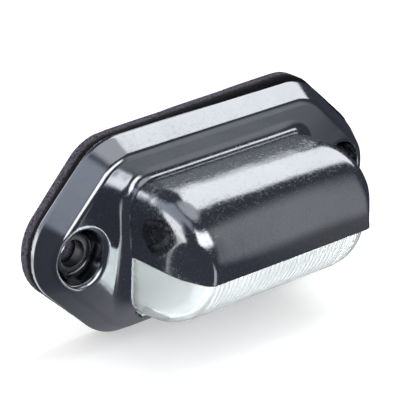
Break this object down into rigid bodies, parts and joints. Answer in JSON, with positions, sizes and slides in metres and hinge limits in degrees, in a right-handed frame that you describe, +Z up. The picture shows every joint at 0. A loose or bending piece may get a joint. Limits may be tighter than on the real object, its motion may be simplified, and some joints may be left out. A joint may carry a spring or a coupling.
{
  "type": "number plate lamp",
  "caption": "Surface-mounted number plate lamp: chromed sheet steel housing with a drawn hood over a clear fluted lens, wedge bulb inside, and a foam gasket behind.",
  "frame": {"origin": "middle of the mounting face, halfway between the two screw holes, on the back of the foam gasket", "axes": "+X along the lamp through the two screw holes, +Y back into the panel, +Z up; the lamp stands out towards -Y and shines down"},
  "size_m": [0.0832, 0.0306, 0.0414],
  "materials": {
    "chromed_steel": "bright chrome over drawn sheet steel, with a faint grain in the reflections",
    "clear_plastic": "clear moulded plastic with a faint cool tint and fine flutes",
    "black_rubber": "matt moulded rubber",
    "foam_rubber": "die-cut closed-cell foam with a granular cut edge",
    "plated_steel": "bright zinc-plated sheet steel",
    "eyelet_steel": "nickel-plated drawn steel",
    "rivet_aluminium": "plain aluminium rivet",
    "holder_plastic": "cream heat-proof moulding",
    "contact_brass": "sprung brass strip",
    "bulb_glass": "thin clear bulb glass",
    "lead_wire": "fine nickel and tungsten wire"
  },
  "bodies": {
    "root": {"housing": "chromed_steel", "lens": "clear_plastic", "lens_seal": "black_rubber", "base_gasket": "foam_rubber", "base_plate": "plated_steel", "eyelet_left": "eyelet_steel", "eyelet_right": "eyelet_steel", "socket_bracket": "plated_steel", "bracket_rivet_upper": "rivet_aluminium", "bracket_rivet_lower": "rivet_aluminium", "socket_body": "holder_plastic", "live_contact": "contact_brass", "earth_contact": "contact_brass", "bulb_glass": "bulb_glass", "bulb_filament": "lead_wire", "bulb_lead_live": "lead_wire", "bulb_lead_earth": "lead_wire", "grommet": "black_rubber"}
  },
  "joints": []
}
